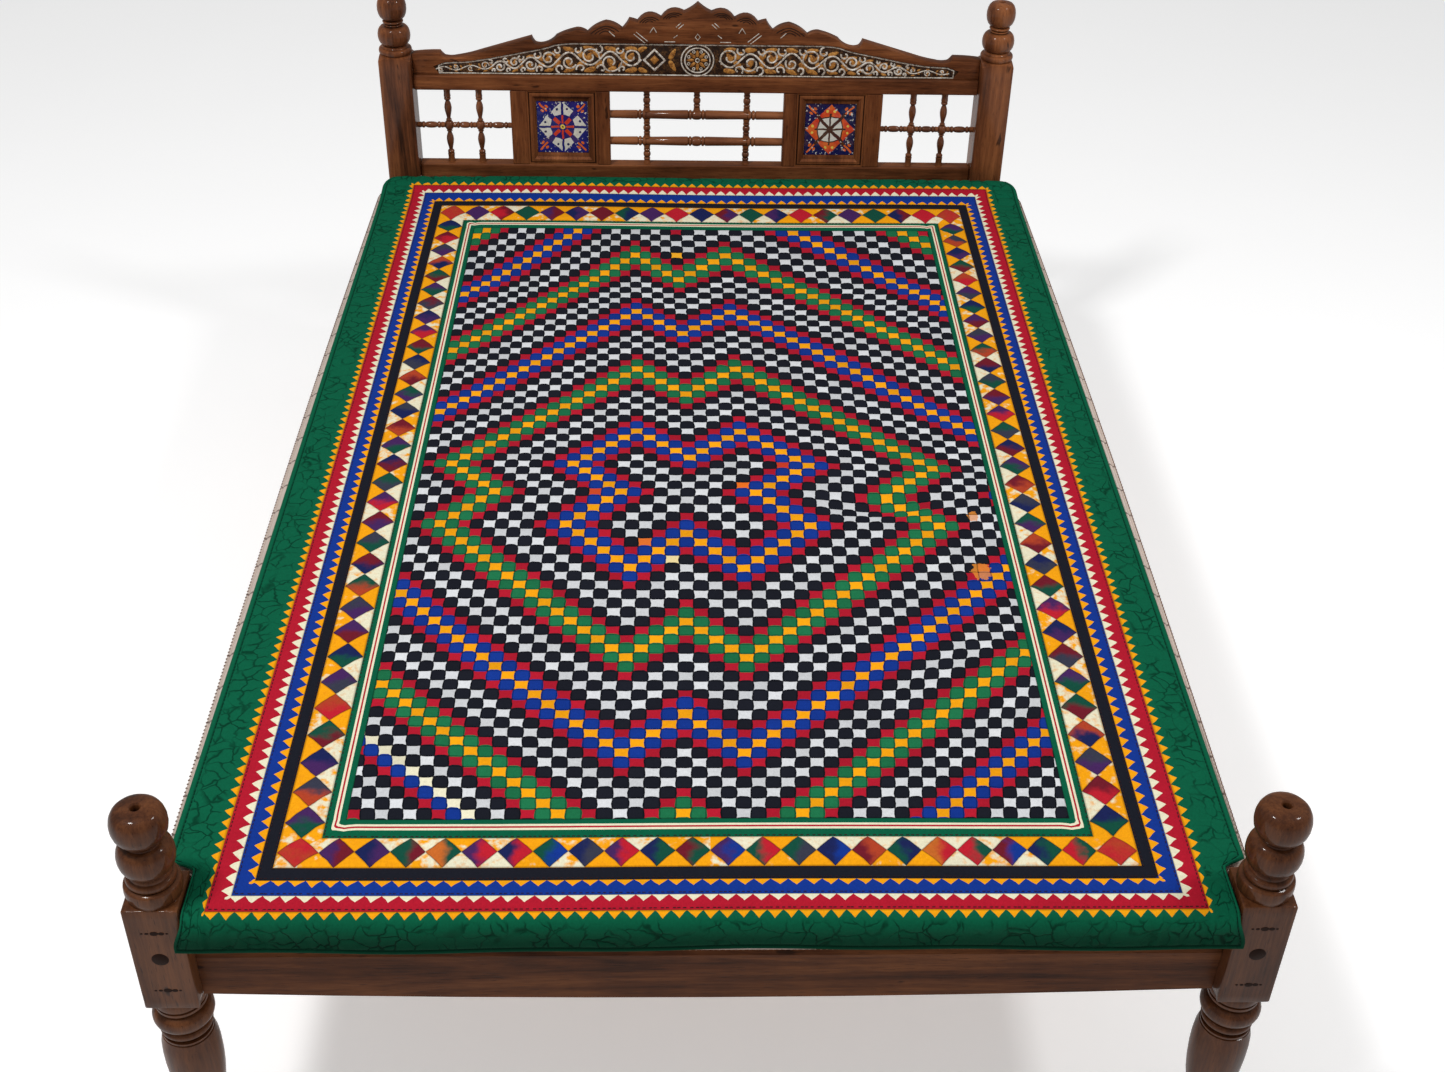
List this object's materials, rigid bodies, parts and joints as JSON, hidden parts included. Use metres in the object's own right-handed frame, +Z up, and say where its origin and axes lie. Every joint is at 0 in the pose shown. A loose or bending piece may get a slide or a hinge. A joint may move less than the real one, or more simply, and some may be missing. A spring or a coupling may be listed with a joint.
{
  "type": "hand-stitched quilt on a wooden bed with mattress",
  "caption": "Hand-stitched patchwork quilt with pieced bands, laid on a plain mattress and a turned wooden bed with carved, tiled headboard.",
  "frame": {"origin": "on the floor under the middle of the bed's outline", "axes": "+X to the right seen from the foot, +Y from the foot to the head, +Z up"},
  "size_m": [1.385, 2.075, 0.852],
  "materials": {
    "quilt_cloth": "matt hand-quilted cotton patchwork",
    "mattress_ticking": "matt cotton ticking",
    "bed_wood": "satin dark brown polish",
    "carved_wood": "carved, dark ground with limed edges",
    "tile_glaze": "painted glossy glaze"
  },
  "bodies": {
    "root": {"quilt": "quilt_cloth", "mattress": "mattress_ticking", "post_foot_left": "bed_wood", "post_foot_right": "bed_wood", "post_head_left": "bed_wood", "post_head_right": "bed_wood", "rail_foot": "bed_wood", "rail_head": "bed_wood", "rail_left": "bed_wood", "rail_right": "bed_wood", "slat_1": "bed_wood", "slat_2": "bed_wood", "slat_3": "bed_wood", "slat_4": "bed_wood", "slat_5": "bed_wood", "slat_6": "bed_wood", "slat_7": "bed_wood", "slat_8": "bed_wood", "headboard_rail_lower": "bed_wood", "headboard_rail_upper": "bed_wood", "stile_outer_left": "bed_wood", "stile_inner_left": "bed_wood", "stile_inner_right": "bed_wood", "stile_outer_right": "bed_wood", "tile_frame_left": "bed_wood", "tile_frame_right": "bed_wood", "tile_left": "tile_glaze", "tile_right": "tile_glaze", "crest": "bed_wood", "frieze": "carved_wood", "spindle_left_1": "bed_wood", "spindle_left_2": "bed_wood", "spindle_right_1": "bed_wood", "spindle_right_2": "bed_wood", "bar_left_1": "bed_wood", "bar_left_2": "bed_wood", "bar_left_3": "bed_wood", "bar_right_1": "bed_wood", "bar_right_2": "bed_wood", "bar_right_3": "bed_wood", "bar_centre_1": "bed_wood", "bar_centre_2": "bed_wood", "spindle_centre_left_1": "bed_wood", "spindle_centre_left_2": "bed_wood", "spindle_centre_left_3": "bed_wood", "spindle_centre_right_1": "bed_wood", "spindle_centre_right_2": "bed_wood", "spindle_centre_right_3": "bed_wood", "spindle_centre_top": "bed_wood"}
  },
  "joints": []
}
